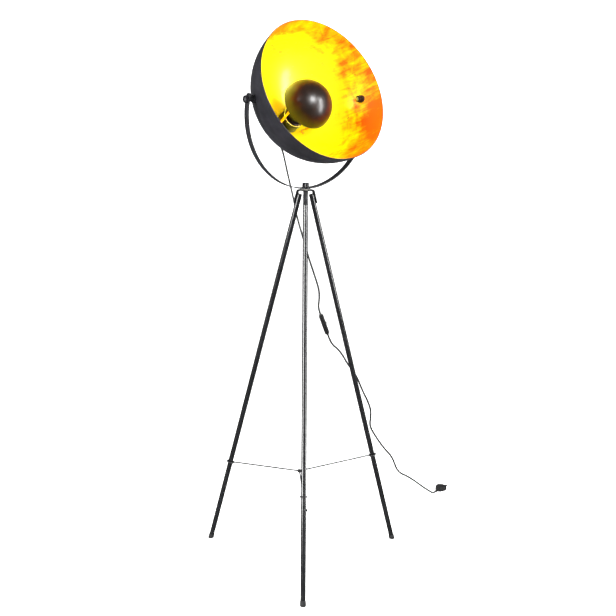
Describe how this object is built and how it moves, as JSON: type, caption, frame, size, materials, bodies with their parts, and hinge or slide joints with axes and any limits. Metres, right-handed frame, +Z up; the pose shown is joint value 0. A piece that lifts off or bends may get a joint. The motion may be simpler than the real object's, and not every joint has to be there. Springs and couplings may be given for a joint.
{
  "type": "tripod spotlight floor lamp",
  "caption": "Floor lamp with a large hemispherical metal shade on a U-shaped yoke that tilts and swivels on a slim tubular tripod, with a cord, an inline switch and a plug.",
  "frame": {"origin": "on the floor, in the middle of the footprint, without the free cord", "axes": "+Z up; the front leg points along -Y; the shade faces -Y and +X, and upwards"},
  "size_m": [0.7841, 0.9698, 1.5265],
  "materials": {
    "black_tube": "satin powder coat on steel tube",
    "black_plate": "satin powder coat on steel plate",
    "black_wire": "satin powder coat on steel wire",
    "shade_paint": "satin black powder coat outside, gold leaf lacquer inside",
    "cap_paint": "black satin paint",
    "gold_strip": "gold lacquer",
    "black_plastic": "matte moulded",
    "black_knob": "black satin, turned and knurled",
    "zinc_screw": "zinc plated",
    "dark_screw": "black oxide",
    "foot_rubber": "matte",
    "pale_nylon": "natural nylon",
    "brass": "drawn brass sheet",
    "cord_sheath": "satin black sheath",
    "switch_plastic": "moulded",
    "plug_vinyl": "moulded",
    "pin_metal": "nickelled brass"
  },
  "bodies": {
    "stand": {"hub_plate": "black_plate", "leg_front": "black_tube", "leg_right": "black_tube", "leg_left": "black_tube", "leg_insert_front": "black_plastic", "leg_insert_right": "black_plastic", "leg_insert_left": "black_plastic", "leg_screw_front": "zinc_screw", "leg_screw_right": "zinc_screw", "leg_screw_left": "zinc_screw", "foot_cap_front": "foot_rubber", "foot_cap_right": "foot_rubber", "foot_cap_left": "foot_rubber", "brace_hub": "black_plastic", "brace_rod_front": "black_wire", "brace_rod_right": "black_wire", "brace_rod_left": "black_wire", "stop_screw_front": "dark_screw", "stop_screw_right": "dark_screw", "stop_screw_left": "dark_screw", "swivel_stud": "zinc_screw", "stud_nut": "dark_screw", "swivel_washer": "pale_nylon", "cord_at_stand": "cord_sheath", "switch_base": "switch_plastic", "switch_cover": "switch_plastic", "switch_screw": "zinc_screw", "cord_to_plug": "cord_sheath", "plug_body": "plug_vinyl", "plug_pin_left": "pin_metal", "plug_pin_right": "pin_metal"},
    "yoke": {"yoke": "black_plate", "cord_at_yoke": "cord_sheath"},
    "head": {"dome_shell": "shade_paint", "glare_cap": "cap_paint", "cap_strut_1": "gold_strip", "cap_strut_2": "gold_strip", "cap_strut_3": "gold_strip", "holder_cup": "black_plate", "lamp_holder": "black_plastic", "screw_shell": "brass", "centre_contact": "brass", "nipple": "zinc_screw", "nipple_nut": "zinc_screw", "cord_gland": "black_plastic", "cord_at_shade": "cord_sheath", "pivot_stud_left": "zinc_screw", "pivot_nut_left": "dark_screw", "pivot_seat_left": "black_plate", "pivot_flange_left": "black_plate", "pivot_spacer_left": "black_plate", "pivot_stud_right": "zinc_screw", "pivot_nut_right": "dark_screw", "pivot_seat_right": "black_plate", "pivot_flange_right": "black_plate", "pivot_spacer_right": "black_plate"},
    "tilt_knob_left": {"tilt_knob_left": "black_knob"},
    "tilt_knob_right": {"tilt_knob_right": "black_knob"},
    "swivel_knob": {"swivel_nut": "black_knob"},
    "switch_slider": {"switch_slider": "switch_plastic"}
  },
  "joints": [
    {"name": "yoke_swivel", "type": "hinge", "parent": "stand", "child": "yoke", "pos_m": [0, 0.07948, 1.0743], "axis": [0, 0, 1], "range_deg": [-120, 120]},
    {"name": "shade_tilt", "type": "hinge", "parent": "yoke", "child": "head", "pos_m": [0.00987, 0.06746, 1.3178], "axis": [-0.7727, -0.6347, 0], "range_deg": [-59.5, 64.5]},
    {"name": "knob_turn_left", "type": "hinge", "parent": "head", "child": "tilt_knob_left", "pos_m": [-0.15136, -0.06497, 1.3178], "axis": [-0.7727, -0.6347, 0], "range_deg": [0, 360]},
    {"name": "knob_turn_right", "type": "hinge", "parent": "head", "child": "tilt_knob_right", "pos_m": [0.17109, 0.19989, 1.3178], "axis": [0.7727, 0.6347, 0], "range_deg": [0, 360]},
    {"name": "swivel_nut_turn", "type": "hinge", "parent": "stand", "child": "swivel_knob", "pos_m": [0, 0.07948, 1.0858], "axis": [0, 0, 1], "range_deg": [0, 360]},
    {"name": "switch_slide", "type": "slide", "parent": "stand", "child": "switch_slider", "axis": [-0.3461, 0, 0.9382], "range_m": [-0.005, 0]}
  ]
}
